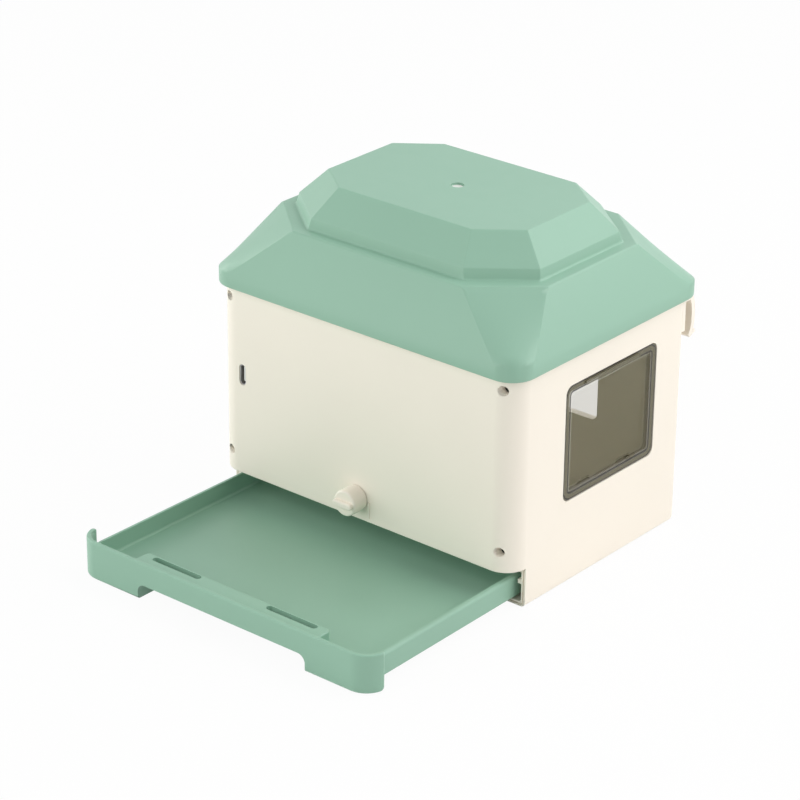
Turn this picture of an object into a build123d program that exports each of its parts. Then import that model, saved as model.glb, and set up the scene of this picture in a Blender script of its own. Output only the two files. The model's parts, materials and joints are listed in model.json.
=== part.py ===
"""Heated nest for cage birds, with a lift-off roof, a lockable tray and a warm front wall.

Millimetres. +X is the right wall with the window, -Y the front with the tray, +Z up.
The origin is on the ground under the middle of the house. The tray is drawn out.
"""

from build123d import *

import os
from math import atan2, cos, hypot, pi, sin, tan

# House walls
house_width = 153.5
house_depth = 112.0
wall = 2.0
base_thickness = 2.0
wall_top = 104.0
front_corner = 10.0
rear_corner = 3.6
base_edge = 2.0
base_corner = 1.2
edge_groove = 0.6

# Clearances
moving_gap = 0.3
seat_gap = 0.15
running_gap = 0.05
thread_gap = 0.02
hair = 0.01

# Tray slot and tray
slot_top = 17.0
tray_draw = 83.9
tray_top_gap = 0.4
tray_rear_gap = 2.5
tray_side_gap = 2.1
tray_taper = 1.0
tray_wall = 2.0
tray_floor = 2.0
tray_underside = 2.9
tray_rim = 12.6
tray_rear_corner = 4.0
ear_gap = 0.6
ear_corner = 2.0
rim_round = 0.7
pan_rim_round = 1.4
pan_base_round = 1.0
pan_floor_round = 1.2
ledge_half = 48.0
ledge_drop = 2.1
ledge_rear_wall = 1.0
ledge_thickness = 2.0
ledge_corner = 2.0
ledge_slot_gap = 0.8
arch_x = 0.8
arch_half = 43.8
arch_height = 6.9
arch_corner = 3.5
foot_round = 1.2
guide_gap = 0.4
guide_levels = ((9.9, 11.6), (15.0, 17.0))
guide_length = 60.0
runner_x = 40.0
runner_width = 3.0

# Front cover and the wall behind the heater space
cover_flange = 1.6
cover_edge = 0.7
inner_wall_thickness = 2.0
inner_wall_corner = 1.5
cover_screw_side = 6.45
cover_screw_edge = 9.0
cover_screw_radius = 1.0
cover_screw_length = 14.0
cover_head_radius = 1.95
cover_head_height = 1.5
recess_radius = 2.15
recess_floor = 4.5
boss_radius = 3.6
post_radius = 5.0
post_length = 13.0

# Roof, as heights above its rim and steps in from its outline
roof_side = 2.5
roof_front = 2.6
roof_rear = 9.0
roof_corner = 10.9
roof_skin = 2.2
rim_lap = 4.2
rim_height = 6.2
slope_rise = 21.9
slope_run = 11.2
ledge_chamfer = (25.3, 22.0)
tier_step = 5.45
tier_rise = 4.5
tier_draft = 0.9
tier_chamfer = (22.9, 18.6)
hip_rise = 11.4
hip_run = 10.9
plateau_chamfer = (17.0, 13.4)
vent_radius = 2.7
plug_recess = 0.9
plug_flange_radius = 4.0
plug_flange = 1.0
seat_ring = 1.8
locating_rib = 1.6
locating_depth = 3.0
roof_edge = 1.2
rim_edge = 0.8

# Window in the right wall
window_y = 6.8
window_z = 62.0
window_width = 59.8
window_height = 49.9
window_corner = 3.5
window_margin = 3.0
window_rebate = 1.2
window_flange = 1.0
pane_edge = 0.4
window_plug_reach = 0.6
grip_width = 36.0
grip_height = 1.8
grip_proud = 0.9
catch_width = 6.0
catch_height = 1.4
catch_offset_y = 14.0
catch_offset_z = 20.2
snap_width = 8.0
snap_reach = 0.8
snap_height = 1.0

# Entrance in the rear wall
entrance_width = 72.4
entrance_height = 54.2
entrance_sill = 32.8
entrance_corner = 3.0
entrance_lip = 2.5
entrance_proud = 1.4
entrance_edge = 0.6

# Cage hooks on the rear wall. The bowed arm is given as reach from the strap and drop from the top
hook_width = 12.0
hook_side = 1.6
hook_strap = 2.2
hook_below_rim = 1.0
hook_plate_drop = 15.0
hook_arm = ((4.9, 1.1), (6.2, 4.0), (6.7, 8.0), (6.7, 12.8), (6.0, 16.2), (4.6, 18.4))
hook_bend = 1.8
hook_lip = 1.3
hook_lip_out = 3.9
hook_lip_rise = 1.5
hook_screw_drops = (4.5, 11.5)
hook_screw_radius = 1.0
hook_screw_grip = 1.8
hook_head_radius = 1.9
hook_head_height = 1.2

# Turn knob, snail cam and latch plate
knob_x = -1.5
knob_rise = 9.6
knob_radius = 5.5
knob_reach = 8.0
knob_round = 0.9
wing_length = 9.8
wing_width = 2.6
wing_reach = 1.9
wing_round = 0.7
index_offset = 6.4
index_width = 1.0
index_height = 7.0
index_drop = 3.9
index_proud = 0.4
spindle_radius = 3.0
drive_side = 3.4
cam_plate = 1.4
cam_rest_radius = 10.0
latch_travel = 5.0
cam_overrun = 0.15
cam_spans = 6
cam_slot_side = 0.15
cam_rim = 1.6
follower_radius = 1.0
latch_thickness = 1.3
latch_half = 42.0
latch_window_half = 18.2
latch_bridge = 6.0
latch_bridge_below_pin = 2.0
tongue_lift = 0.4
latch_slot_gap = 0.35
keeper_wall = 2.0
keeper_lip = 1.2
keeper_height = 16.0
keeper_clear = 4.0
cam_head_radius = 2.4
cam_head_height = 0.9
cam_screw_radius = 0.8
cam_screw_length = 5.0

# Inlet and control board
inlet_side = 13.6
inlet_z = 62.0
inlet_length = 8.94
inlet_width = 3.26
inlet_skin = 0.3
inlet_recess = 0.4
inlet_gap = 0.2
tongue_length = 6.2
tongue_width = 0.7
tongue_reach = 6.2
socket_floor = 1.0
board_width = 24.0
board_height = 37.0
board_thickness = 1.0
board_stand = 0.4
board_side = 4.8
board_stand_radius = 2.2
board_screw_inset = 3.2
board_screw_radius = 0.8
board_screw_length = 2.4
board_head_radius = 1.6
board_head_height = 1.0
chip_size = (4.0, 5.0, 1.5)
transistor_size = (6.5, 6.2, 2.3)
connector_size = (4.5, 6.0, 4.0)
connector_edge = 1.5
part_spacing = 13.0

# Heat plate, film and insulation
plate_width = 96.0
plate_height = 50.0
plate_thickness = 1.0
plate_corner = 3.0
plate_x = 14.0
plate_z = 67.0
plate_margin = 8.0
film_thickness = 0.5
film_gap = 0.5
insulation_thickness = 4.0
lead_strip = 9.0
plate_screw_inset = 4.0
plate_screw_radius = 1.0
plate_head_radius = 1.9
plate_head_height = 1.2
plate_boss_radius = 2.6
plate_boss_height = 3.0
sensor_size = (4.0, 5.0, 1.6)
lead_radius = 0.6
lead_pitch = 2.0
lead_bend = 2.4

# Places that follow from the sizes above
half_width = house_width / 2
front_y = -house_depth / 2
rear_y = house_depth / 2
joint_y = front_y + front_corner
cover_back_y = front_y + wall
inner_front_y = joint_y
inner_back_y = inner_front_y + inner_wall_thickness
screw_x = half_width - cover_screw_side
cover_screw_spots = [
    (side * screw_x, height)
    for side in (-1, 1)
    for height in (slot_top + cover_screw_edge, wall_top - cover_screw_edge)
]
tray_front_y = front_y - tray_draw
tray_rear_y = rear_y - wall - tray_rear_gap - tray_draw
tray_half = half_width - wall - tray_side_gap
tray_top = slot_top - tray_top_gap
tray_floor_top = tray_underside + tray_floor
latch_back_y = inner_front_y - moving_gap
latch_front_y = latch_back_y - latch_thickness
latch_slot_front = latch_front_y - latch_slot_gap
latch_slot_back = latch_back_y + latch_slot_gap
ledge_slot_back = latch_back_y + ledge_slot_gap - tray_draw
ledge_rear_y = ledge_slot_back + ledge_rear_wall
ledge_top = tray_top - ledge_drop
cam_back_y = latch_front_y - moving_gap
cam_front_y = cam_back_y - cam_plate
hub_front_y = cover_back_y + moving_gap
knob_z = slot_top + knob_rise
follower_z = knob_z + cam_rest_radius
rim_bottom = wall_top - rim_lap
rim_top = rim_bottom + rim_height
hook_top = rim_bottom - hook_below_rim
ledge_z = rim_top + slope_rise
tier_z = ledge_z + tier_rise
plateau_z = tier_z + hip_rise
roof_y = (roof_rear - roof_front) / 2
roof_half_x = half_width + roof_side
roof_half_y = (house_depth + roof_front + roof_rear) / 2
inlet_x = -half_width + inlet_side
board_x = -half_width + board_side + board_width / 2
board_back_y = inner_front_y - board_stand
board_front_y = board_back_y - board_thickness
film_front_y = inner_back_y - film_thickness
opening_width = plate_width - 2 * plate_margin
opening_height = plate_height - 2 * plate_margin


def facing_front(y):
    """Plane across the house at y, seen from the front: X to the right, Z up."""
    return Plane.XZ.offset(-y)


def facing_right(x):
    """Plane along the house at x, seen from the right: Y to the right, Z up."""
    return Plane.YZ.offset(x)


def rounded_front(width, front, back, radius):
    """Plan of a box with its two front corners rounded."""
    with BuildSketch() as plan:
        with Locations((0, (front + back) / 2)):
            Rectangle(width, back - front)
        fillet(plan.vertices().group_by(Axis.Y)[0], radius)
    return plan.sketch


def rounded_rear(width, front, back, radius):
    """Plan of a box with its two rear corners rounded."""
    with BuildSketch() as plan:
        with Locations((0, (front + back) / 2)):
            Rectangle(width, back - front)
        fillet(plan.vertices().group_by(Axis.Y)[-1], radius)
    return plan.sketch


def pan_head_screws(spots, head_y, head_radius, head_height, shank_radius, length, towards):
    """Screws along Y at (x, z) spots. Heads sit at head_y and shanks run towards -1 or 1."""
    with BuildPart() as screws:
        with BuildSketch(facing_front(head_y)):
            with Locations(*spots):
                Circle(head_radius)
        extrude(amount=towards * head_height)
        with BuildSketch(facing_front(head_y)):
            with Locations(*spots):
                Circle(shank_radius)
        extrude(amount=-towards * length)
    return screws


# House shell: side walls, rear wall and base, open to the front and the top
entrance_z = entrance_sill + entrance_height / 2
hook_x = half_width - hook_side - hook_width / 2
hook_spots = [
    (side * hook_x, hook_top - drop) for side in (-1, 1) for drop in hook_screw_drops
]
guide_thickness = tray_side_gap - guide_gap
runner_height = tray_underside - base_thickness - moving_gap


def slot_outline(inset):
    """Outline of the house at the tray slot, seen from the front, moved in by inset."""
    with BuildSketch() as outline:
        with Locations((0, (inset + slot_top) / 2)):
            Rectangle(house_width - 2 * inset, slot_top - inset)
        fillet(outline.vertices().group_by(Axis.Y)[0], base_edge - inset)
    return outline.sketch


with BuildPart() as house_shell:
    with BuildSketch():
        add(rounded_rear(house_width, joint_y, rear_y, rear_corner))
    extrude(amount=wall_top)
    ground_edges = house_shell.edges().group_by(Axis.Z)[0].sort_by(Axis.Y)[1:]
    fillet(ground_edges, base_edge)
    with BuildSketch(Plane.XY.offset(base_thickness)):
        add(rounded_rear(house_width - 2 * wall, joint_y, rear_y - wall, rear_corner - wall))
    extrude(amount=wall_top - base_thickness, mode=Mode.SUBTRACT)
    floor_edges = house_shell.edges().filter_by_position(
        Axis.Z, base_thickness - hair, base_thickness + hair
    )
    fillet(floor_edges.sort_by(Axis.Y)[1:], base_corner)

    # Groove along the front edge of the base and the side walls below the cover
    with BuildSketch(facing_front(joint_y)):
        add(slot_outline((wall - edge_groove) / 2))
        add(slot_outline((wall + edge_groove) / 2), mode=Mode.SUBTRACT)
    extrude(amount=-edge_groove, mode=Mode.SUBTRACT)

    # Screw posts in the front corners, behind the inner wall
    with BuildSketch(facing_front(inner_back_y)):
        with Locations(*cover_screw_spots):
            Circle(post_radius)
    extrude(amount=-post_length)
    with BuildSketch(facing_front(inner_back_y)):
        with Locations(*cover_screw_spots):
            Circle(cover_screw_radius + thread_gap)
    extrude(amount=-(post_length - wall), mode=Mode.SUBTRACT)

    # Tray guides on the side walls and runners on the base
    guide_x = half_width - wall - guide_thickness / 2
    for bottom, top in guide_levels:
        with BuildSketch(Plane.XY.offset(bottom)):
            with Locations((-guide_x, joint_y + guide_length / 2), (guide_x, joint_y + guide_length / 2)):
                Rectangle(guide_thickness, guide_length)
        extrude(amount=top - bottom)
    with BuildSketch(Plane.XY.offset(base_thickness)):
        with Locations((-runner_x, joint_y + guide_length / 2), (runner_x, joint_y + guide_length / 2)):
            Rectangle(runner_width, guide_length)
    extrude(amount=runner_height)

    # Entrance with a raised lip outside
    with BuildSketch(facing_front(rear_y)):
        with Locations((0, entrance_z)):
            RectangleRounded(
                entrance_width + 2 * entrance_lip,
                entrance_height + 2 * entrance_lip,
                entrance_corner + entrance_lip,
            )
    extrude(amount=-entrance_proud)
    fillet(house_shell.edges().group_by(Axis.Y)[-1], entrance_edge)
    with BuildSketch(facing_front(rear_y - wall)):
        with Locations((0, entrance_z)):
            RectangleRounded(entrance_width, entrance_height, entrance_corner)
    extrude(amount=-(wall + entrance_proud), mode=Mode.SUBTRACT)

    # Window opening with a rebate outside
    with BuildSketch(facing_right(half_width)):
        with Locations((window_y, window_z)):
            RectangleRounded(
                window_width + 2 * seat_gap, window_height + 2 * seat_gap, window_corner + seat_gap
            )
    extrude(amount=-window_rebate, mode=Mode.SUBTRACT)
    with BuildSketch(facing_right(half_width)):
        with Locations((window_y, window_z)):
            RectangleRounded(
                window_width - 2 * window_margin,
                window_height - 2 * window_margin,
                window_corner - window_margin / 2,
            )
    extrude(amount=-wall, mode=Mode.SUBTRACT)

    # Holes for the hook screws
    with BuildSketch(facing_front(rear_y - wall)):
        with Locations(*hook_spots):
            Circle(hook_screw_radius + seat_gap)
    extrude(amount=-wall, mode=Mode.SUBTRACT)


# Front cover: a shallow box with rounded corners, open to the rear
latch_slit_y = (latch_slot_front + latch_slot_back) / 2
latch_slit_x = (latch_window_half + latch_half) / 2
latch_slit_width = latch_half - latch_window_half + 2 * latch_slot_gap
latch_slit_depth = latch_slot_back - latch_slot_front
recess_floor_y = inner_front_y - recess_floor

with BuildPart() as cover_cavity:
    with BuildSketch(Plane.XY.offset(slot_top + cover_flange)):
        add(rounded_front(house_width - 2 * wall, cover_back_y, joint_y, front_corner - wall))
    extrude(amount=wall_top - slot_top - 2 * cover_flange)
    with BuildSketch(facing_front(inner_front_y)):
        with Locations(*cover_screw_spots):
            Circle(boss_radius)
    extrude(amount=front_corner, mode=Mode.SUBTRACT)

with BuildPart() as front_cover:
    with BuildSketch(Plane.XY.offset(slot_top)):
        add(rounded_front(house_width, front_y, joint_y, front_corner))
    extrude(amount=wall_top - slot_top)
    fillet(front_cover.edges().group_by(Axis.Z)[0].sort_by(Axis.Y)[:-1], cover_edge)
    add(cover_cavity.part, mode=Mode.SUBTRACT)

    # Index bar beside the knob
    with BuildSketch(facing_front(front_y)):
        with Locations((knob_x + index_offset, knob_z - index_drop)):
            Rectangle(index_width, index_height)
    extrude(amount=index_proud)

    # Screw recesses and their holes
    with BuildSketch(facing_front(recess_floor_y)):
        with Locations(*cover_screw_spots):
            Circle(recess_radius)
    extrude(amount=front_corner, mode=Mode.SUBTRACT)
    with BuildSketch(facing_front(inner_front_y)):
        with Locations(*cover_screw_spots):
            Circle(cover_screw_radius + seat_gap)
    extrude(amount=recess_floor, mode=Mode.SUBTRACT)

    # Inlet cut-out and spindle hole
    with BuildSketch(facing_front(inner_front_y)):
        with Locations((inlet_x, inlet_z)):
            SlotOverall(inlet_length + 2 * inlet_gap, inlet_width + 2 * inlet_gap, rotation=90)
        with Locations((knob_x, knob_z)):
            Circle(spindle_radius + running_gap)
    extrude(amount=inner_front_y - front_y, mode=Mode.SUBTRACT)

    # Slits in the lower flange for the latch tongues
    with BuildSketch(Plane.XY.offset(slot_top)):
        with Locations((-latch_slit_x, latch_slit_y), (latch_slit_x, latch_slit_y)):
            Rectangle(latch_slit_width, latch_slit_depth)
    extrude(amount=cover_flange, mode=Mode.SUBTRACT)

cover_screws = pan_head_screws(
    cover_screw_spots,
    recess_floor_y,
    cover_head_radius,
    cover_head_height,
    cover_screw_radius,
    cover_screw_length,
    towards=1,
)


# Inner wall between the heater space and the nest
inner_half = half_width - wall - seat_gap
inner_bottom = slot_top + seat_gap
inner_top = wall_top - cover_flange - seat_gap
inner_height = inner_top - inner_bottom
keeper_x = latch_half + moving_gap
keeper_bottom = knob_z - keeper_clear
plate_spots = [
    (
        plate_x + side * (plate_width / 2 - plate_screw_inset),
        plate_z + rise * (plate_height / 2 - plate_screw_inset),
    )
    for side in (-1, 1)
    for rise in (-1, 1)
]
board_spots = [
    (
        board_x + side * (board_width / 2 - board_screw_inset),
        inlet_z + side * (board_height / 2 - board_screw_inset),
    )
    for side in (-1, 1)
]

with BuildPart() as inner_wall:
    with BuildSketch(facing_front(inner_back_y)):
        with Locations((0, (inner_bottom + inner_top) / 2)):
            RectangleRounded(2 * inner_half, inner_height, inner_wall_corner)
        with Locations((plate_x, plate_z)):
            Rectangle(opening_width, opening_height, mode=Mode.SUBTRACT)
        with Locations(*cover_screw_spots):
            Circle(cover_screw_radius + seat_gap, mode=Mode.SUBTRACT)
    extrude(amount=inner_wall_thickness)

    # Bosses for the heat plate and stands for the board
    with BuildSketch(facing_front(inner_front_y)):
        with Locations(*plate_spots):
            Circle(plate_boss_radius)
    extrude(amount=plate_boss_height)
    with BuildSketch(facing_front(inner_back_y)):
        with Locations(*plate_spots):
            Circle(plate_screw_radius + thread_gap)
    extrude(amount=inner_wall_thickness + plate_boss_height, mode=Mode.SUBTRACT)
    with BuildSketch(facing_front(inner_front_y)):
        with Locations(*board_spots):
            Circle(board_stand_radius)
    extrude(amount=board_stand)
    with BuildSketch(facing_front(inner_front_y - board_stand)):
        with Locations(*board_spots):
            Circle(board_screw_radius + thread_gap)
    extrude(amount=-board_stand - inner_wall_thickness, mode=Mode.SUBTRACT)

    # Keepers that guide the latch plate
    with BuildSketch(Plane.XY.offset(keeper_bottom)):
        for side in (-1, 1):
            with Locations((side * (keeper_x + keeper_wall / 2), (cam_front_y + inner_front_y) / 2)):
                Rectangle(keeper_wall, inner_front_y - cam_front_y)
            lip_x = side * (keeper_x + (keeper_wall - keeper_lip) / 2)
            with Locations((lip_x, (cam_front_y + cam_back_y) / 2)):
                Rectangle(keeper_wall + keeper_lip, cam_plate)
    extrude(amount=keeper_height)


# Heat plate, film, insulation and their screws
with BuildPart() as heat_plate:
    with BuildSketch(facing_front(inner_back_y)):
        with Locations((plate_x, plate_z)):
            RectangleRounded(plate_width, plate_height, plate_corner)
        with Locations(*plate_spots):
            Circle(plate_screw_radius + seat_gap, mode=Mode.SUBTRACT)
    extrude(amount=-plate_thickness)

plate_screws = pan_head_screws(
    plate_spots,
    inner_back_y + plate_thickness,
    plate_head_radius,
    plate_head_height,
    plate_screw_radius,
    plate_thickness + inner_wall_thickness + plate_boss_height - film_gap,
    towards=-1,
)

film_width = opening_width - 2 * film_gap
film_height = opening_height - 2 * film_gap
with BuildPart() as heating_film:
    with BuildSketch(facing_front(inner_back_y)):
        with Locations((plate_x, plate_z)):
            Rectangle(film_width, film_height)
    extrude(amount=film_thickness)

with BuildPart() as insulation_sheet:
    with BuildSketch(facing_front(film_front_y)):
        with Locations((plate_x + lead_strip / 2, plate_z)):
            Rectangle(film_width - lead_strip, film_height)
    extrude(amount=insulation_thickness)


# Roof: rim, slope, ledge, upper tier, hip and plateau as one skin
def roof_outline(step, chamfer, inset):
    """Octagon a step inside the roof's outline, with its corner chamfers, moved in by inset."""
    long_leg, short_leg = chamfer
    trim = inset * (long_leg + short_leg - hypot(long_leg, short_leg))
    cut_x = long_leg - trim / short_leg
    cut_y = short_leg - trim / long_leg
    half_x = roof_half_x - step - inset
    half_y = roof_half_y - step - inset
    corners = [
        (half_x - cut_x, -half_y),
        (half_x, cut_y - half_y),
        (half_x, half_y - cut_y),
        (half_x - cut_x, half_y),
        (cut_x - half_x, half_y),
        (-half_x, half_y - cut_y),
        (-half_x, cut_y - half_y),
        (cut_x - half_x, -half_y),
    ]
    with BuildSketch() as outline:
        with BuildLine():
            Polyline(*[(x, y + roof_y) for x, y in corners], close=True)
        make_face()
    return outline.sketch


def rim_outline(inset):
    """Rounded rectangle of the rim, moved in by inset."""
    with BuildSketch() as outline:
        with Locations((0, roof_y)):
            RectangleRounded(
                2 * (roof_half_x - inset), 2 * (roof_half_y - inset), roof_corner - inset
            )
    return outline.sketch


def roof_solid(skin):
    """Roof as a full solid, every face moved in by skin."""
    slope = atan2(slope_rise, slope_run)
    hip = atan2(hip_rise, hip_run)
    rim_drop = skin * tan((pi / 2 - slope) / 2)
    tier_drop = skin * tan((pi / 2 - hip) / 2)
    with BuildPart() as solid:
        with BuildSketch(Plane.XY.offset(rim_bottom)):
            add(rim_outline(skin))
        extrude(amount=rim_height - rim_drop)
        with BuildSketch(Plane.XY.offset(rim_top - rim_drop)):
            add(rim_outline(skin))
        with BuildSketch(Plane.XY.offset(ledge_z - skin)):
            add(roof_outline(slope_run, ledge_chamfer, skin * tan(slope / 2)))
        loft(ruled=True)
        with BuildSketch(Plane.XY.offset(ledge_z - skin)):
            add(roof_outline(slope_run + tier_step, tier_chamfer, skin))
        with BuildSketch(Plane.XY.offset(tier_z - tier_drop)):
            add(roof_outline(slope_run + tier_step + tier_draft, tier_chamfer, skin))
        loft(ruled=True)
        with BuildSketch(Plane.XY.offset(tier_z - tier_drop)):
            add(roof_outline(slope_run + tier_step + tier_draft, tier_chamfer, skin))
        with BuildSketch(Plane.XY.offset(plateau_z - skin)):
            add(
                roof_outline(
                    slope_run + tier_step + tier_draft + hip_run, plateau_chamfer, skin * tan(hip / 2)
                )
            )
        loft(ruled=True)
    return solid.part


def rib_outline(inset):
    """Outline of the locating rib inside the walls, moved in by inset."""
    width = house_width - 2 * (wall + moving_gap + inset)
    front = inner_back_y + moving_gap + inset
    rear = rear_y - wall - moving_gap - inset
    return rounded_rear(width, front, rear, rear_corner - wall)


with BuildPart() as roof:
    add(roof_solid(0))
    fillet(roof.edges().filter_by_position(Axis.Z, ledge_z, plateau_z), roof_edge)
    fillet(roof.edges().group_by(Axis.Z)[0], rim_edge)
    add(roof_solid(roof_skin), mode=Mode.SUBTRACT)

    # Ring that seats on the top of the walls, and a rib inside them that locates the roof
    with BuildSketch(Plane.XY.offset(wall_top + moving_gap)):
        add(rim_outline(roof_skin / 2))
        add(rib_outline(locating_rib), mode=Mode.SUBTRACT)
    extrude(amount=seat_ring)
    with BuildSketch(Plane.XY.offset(wall_top + moving_gap)):
        add(rib_outline(0))
        add(rib_outline(locating_rib), mode=Mode.SUBTRACT)
    extrude(amount=-locating_depth)

    # Vent in the plateau
    with BuildSketch(Plane.XY.offset(plateau_z)):
        with Locations((0, roof_y)):
            Circle(vent_radius)
    extrude(amount=-roof_skin, mode=Mode.SUBTRACT)

# Plug in the vent, pushed in from below
with BuildPart() as vent_plug:
    with BuildSketch(Plane.XY.offset(plateau_z - roof_skin)):
        with Locations((0, roof_y)):
            Circle(vent_radius - running_gap)
    extrude(amount=roof_skin - plug_recess)
    with BuildSketch(Plane.XY.offset(plateau_z - roof_skin)):
        with Locations((0, roof_y)):
            Circle(plug_flange_radius)
    extrude(amount=-plug_flange)


# Window pane: flange in the rebate, plug in the opening, grip bar, catch and snap lugs
plug_width = window_width - 2 * (window_margin + seat_gap)
plug_height = window_height - 2 * (window_margin + seat_gap)
flange_back_x = half_width - window_rebate
flange_front_x = flange_back_x + window_flange
snap_x = half_width - wall - moving_gap

with BuildPart() as window_pane:
    with BuildSketch(facing_right(flange_back_x)):
        with Locations((window_y, window_z)):
            RectangleRounded(window_width, window_height, window_corner)
    extrude(amount=window_flange)
    fillet(window_pane.edges().group_by(Axis.X)[-1], pane_edge)
    with BuildSketch(facing_right(flange_back_x)):
        with Locations((window_y, window_z)):
            RectangleRounded(plug_width, plug_height, window_corner - window_margin / 2 - seat_gap)
    extrude(amount=-(wall - window_rebate + window_plug_reach))
    with BuildSketch(facing_right(flange_front_x)):
        with Locations((window_y, window_z + window_height / 2 - grip_height)):
            SlotOverall(grip_width, grip_height)
        with Locations((window_y + catch_offset_y, window_z - catch_offset_z)):
            SlotOverall(catch_width, catch_height)
    extrude(amount=grip_proud)
    fillet(window_pane.edges().group_by(Axis.X)[-1], pane_edge)
    with BuildSketch(facing_right(snap_x)):
        for rise in (-1, 1):
            with Locations((window_y, window_z + rise * plug_height / 2)):
                with GridLocations(plug_width / 2, 0, 2, 1):
                    Rectangle(snap_width, 2 * snap_reach)
    extrude(amount=-snap_height)


# Tray: pan, flush front with ears and feet, finger arch and slotted ledge
def tray_plan(inset):
    """Plan of the pan, narrower to the rear, with every side moved in by inset."""
    front_half = tray_half - inset
    rear_half = front_half - tray_taper
    front = tray_front_y + (tray_wall + inset) / 2
    rear = tray_rear_y - inset
    with BuildSketch() as plan:
        with BuildLine():
            Polyline(
                (-front_half, front), (front_half, front), (rear_half, rear), (-rear_half, rear), close=True
            )
        make_face()
        fillet(plan.vertices().group_by(Axis.Y)[0], front_corner - tray_wall - inset / 2)
        fillet(plan.vertices().group_by(Axis.Y)[-1], tray_rear_corner - inset)
    return plan.sketch


tray_ear_y = tray_front_y + front_corner - ear_gap
ear_trim_y = tray_front_y + 2 * front_corner
ledge_slot_y = (latch_front_y + latch_back_y) / 2 - tray_draw

with BuildPart() as tray_front:
    with BuildSketch():
        add(rounded_front(house_width, tray_front_y, ear_trim_y, front_corner))
        add(
            rounded_front(
                house_width - 2 * tray_wall, tray_front_y + tray_wall, ear_trim_y, front_corner - tray_wall
            ),
            mode=Mode.SUBTRACT,
        )
        with Locations((0, (tray_ear_y + ear_trim_y) / 2)):
            Rectangle(house_width, ear_trim_y - tray_ear_y, mode=Mode.SUBTRACT)
    extrude(amount=tray_top)
    ear_ends = tray_front.edges().filter_by_position(Axis.Y, tray_ear_y - hair, tray_ear_y + hair)
    fillet(ear_ends.group_by(Axis.Z)[0], ear_corner)
    fillet(tray_front.edges().group_by(Axis.Z)[0].sort_by(Axis.Y)[0], foot_round)
    fillet(tray_front.edges().group_by(Axis.Z)[-1], rim_round)

with BuildPart() as tray:
    with BuildSketch(Plane.XY.offset(tray_underside)):
        add(tray_plan(0))
    extrude(amount=tray_rim - tray_underside)
    fillet(tray.edges().group_by(Axis.Z)[-1], pan_rim_round)
    fillet(tray.edges().group_by(Axis.Z)[0], pan_base_round)
    with BuildSketch(Plane.XY.offset(tray_floor_top)):
        add(tray_plan(tray_wall))
    extrude(amount=tray_rim - tray_floor_top, mode=Mode.SUBTRACT)
    fillet(
        tray.edges().filter_by_position(Axis.Z, tray_floor_top - hair, tray_floor_top + hair),
        pan_floor_round,
    )

    # Ledge with rounded ends, and the block below it that ends before the base of the house
    with BuildSketch(Plane.XY.offset(tray_underside)):
        add(rounded_rear(2 * ledge_half, tray_front_y + tray_wall / 2, ledge_rear_y, ledge_corner))
    extrude(amount=ledge_top - tray_underside)
    fillet(tray.edges().group_by(Axis.Z)[-1], rim_round)
    with BuildSketch():
        with Locations((0, (tray_front_y + tray_wall / 2 + tray_ear_y) / 2)):
            Rectangle(2 * ledge_half, tray_ear_y - tray_front_y - tray_wall / 2)
    extrude(amount=tray_underside)
    add(tray_front.part)

    # Finger space under the ledge, open to the front through an arch
    with BuildSketch():
        with Locations((arch_x, (tray_front_y + tray_wall + ledge_slot_back) / 2)):
            Rectangle(2 * arch_half, ledge_slot_back - tray_front_y - tray_wall)
    extrude(amount=ledge_top - ledge_thickness, mode=Mode.SUBTRACT)
    with BuildSketch(facing_front(tray_front_y)) as arch:
        with Locations((arch_x, arch_height / 2)):
            Rectangle(2 * arch_half, arch_height)
        fillet(arch.vertices().group_by(Axis.Y)[-1], arch_corner)
    extrude(amount=-tray_wall, mode=Mode.SUBTRACT)

    # Slots for the latch tongues
    with BuildSketch(Plane.XY.offset(ledge_top)):
        with Locations((-latch_slit_x, ledge_slot_y), (latch_slit_x, ledge_slot_y)):
            SlotOverall(
                latch_half - latch_window_half + 2 * ledge_slot_gap, latch_thickness + 2 * ledge_slot_gap
            )
    extrude(amount=-ledge_thickness, mode=Mode.SUBTRACT)


# Turn knob with its spindle
drive_length = cam_back_y - hub_front_y - seat_gap
with BuildPart() as lock_knob:
    with BuildSketch(facing_front(front_y - moving_gap)):
        with Locations((knob_x, knob_z)):
            Circle(knob_radius)
    extrude(amount=knob_reach - moving_gap)
    fillet(lock_knob.edges().group_by(Axis.Y)[0], knob_round)
    with BuildSketch(facing_front(front_y - knob_reach)):
        with Locations((knob_x, knob_z)):
            SlotOverall(wing_length, wing_width)
    extrude(amount=wing_reach)
    fillet(lock_knob.edges().group_by(Axis.Y)[0], wing_round)
    with BuildSketch(facing_front(front_y - moving_gap)):
        with Locations((knob_x, knob_z)):
            Circle(spindle_radius)
    extrude(amount=front_y - moving_gap - hub_front_y)
    with BuildSketch(facing_front(hub_front_y)):
        with Locations((knob_x, knob_z)):
            Rectangle(drive_side, drive_side)
    extrude(amount=-drive_length)
    with BuildSketch(facing_front(hub_front_y + drive_length)):
        with Locations((knob_x, knob_z)):
            Circle(cam_screw_radius + thread_gap)
    extrude(amount=cam_screw_length, mode=Mode.SUBTRACT)


# Snail cam: its spiral slot lowers the follower evenly over a quarter turn
cam_slot_half = follower_radius + cam_slot_side


def spiral_point(turn, outwards):
    """Point of the spiral after a share of the quarter turn, moved outwards."""
    angle = pi / 2 * (1 + turn)
    radius = cam_rest_radius - latch_travel * turn + outwards
    return (knob_x + radius * cos(angle), knob_z + radius * sin(angle))


def spiral(first, last, outwards):
    """Points along the spiral from one share of the quarter turn to another."""
    return [spiral_point(first + (last - first) * i / cam_spans, outwards) for i in range(cam_spans + 1)]


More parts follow.
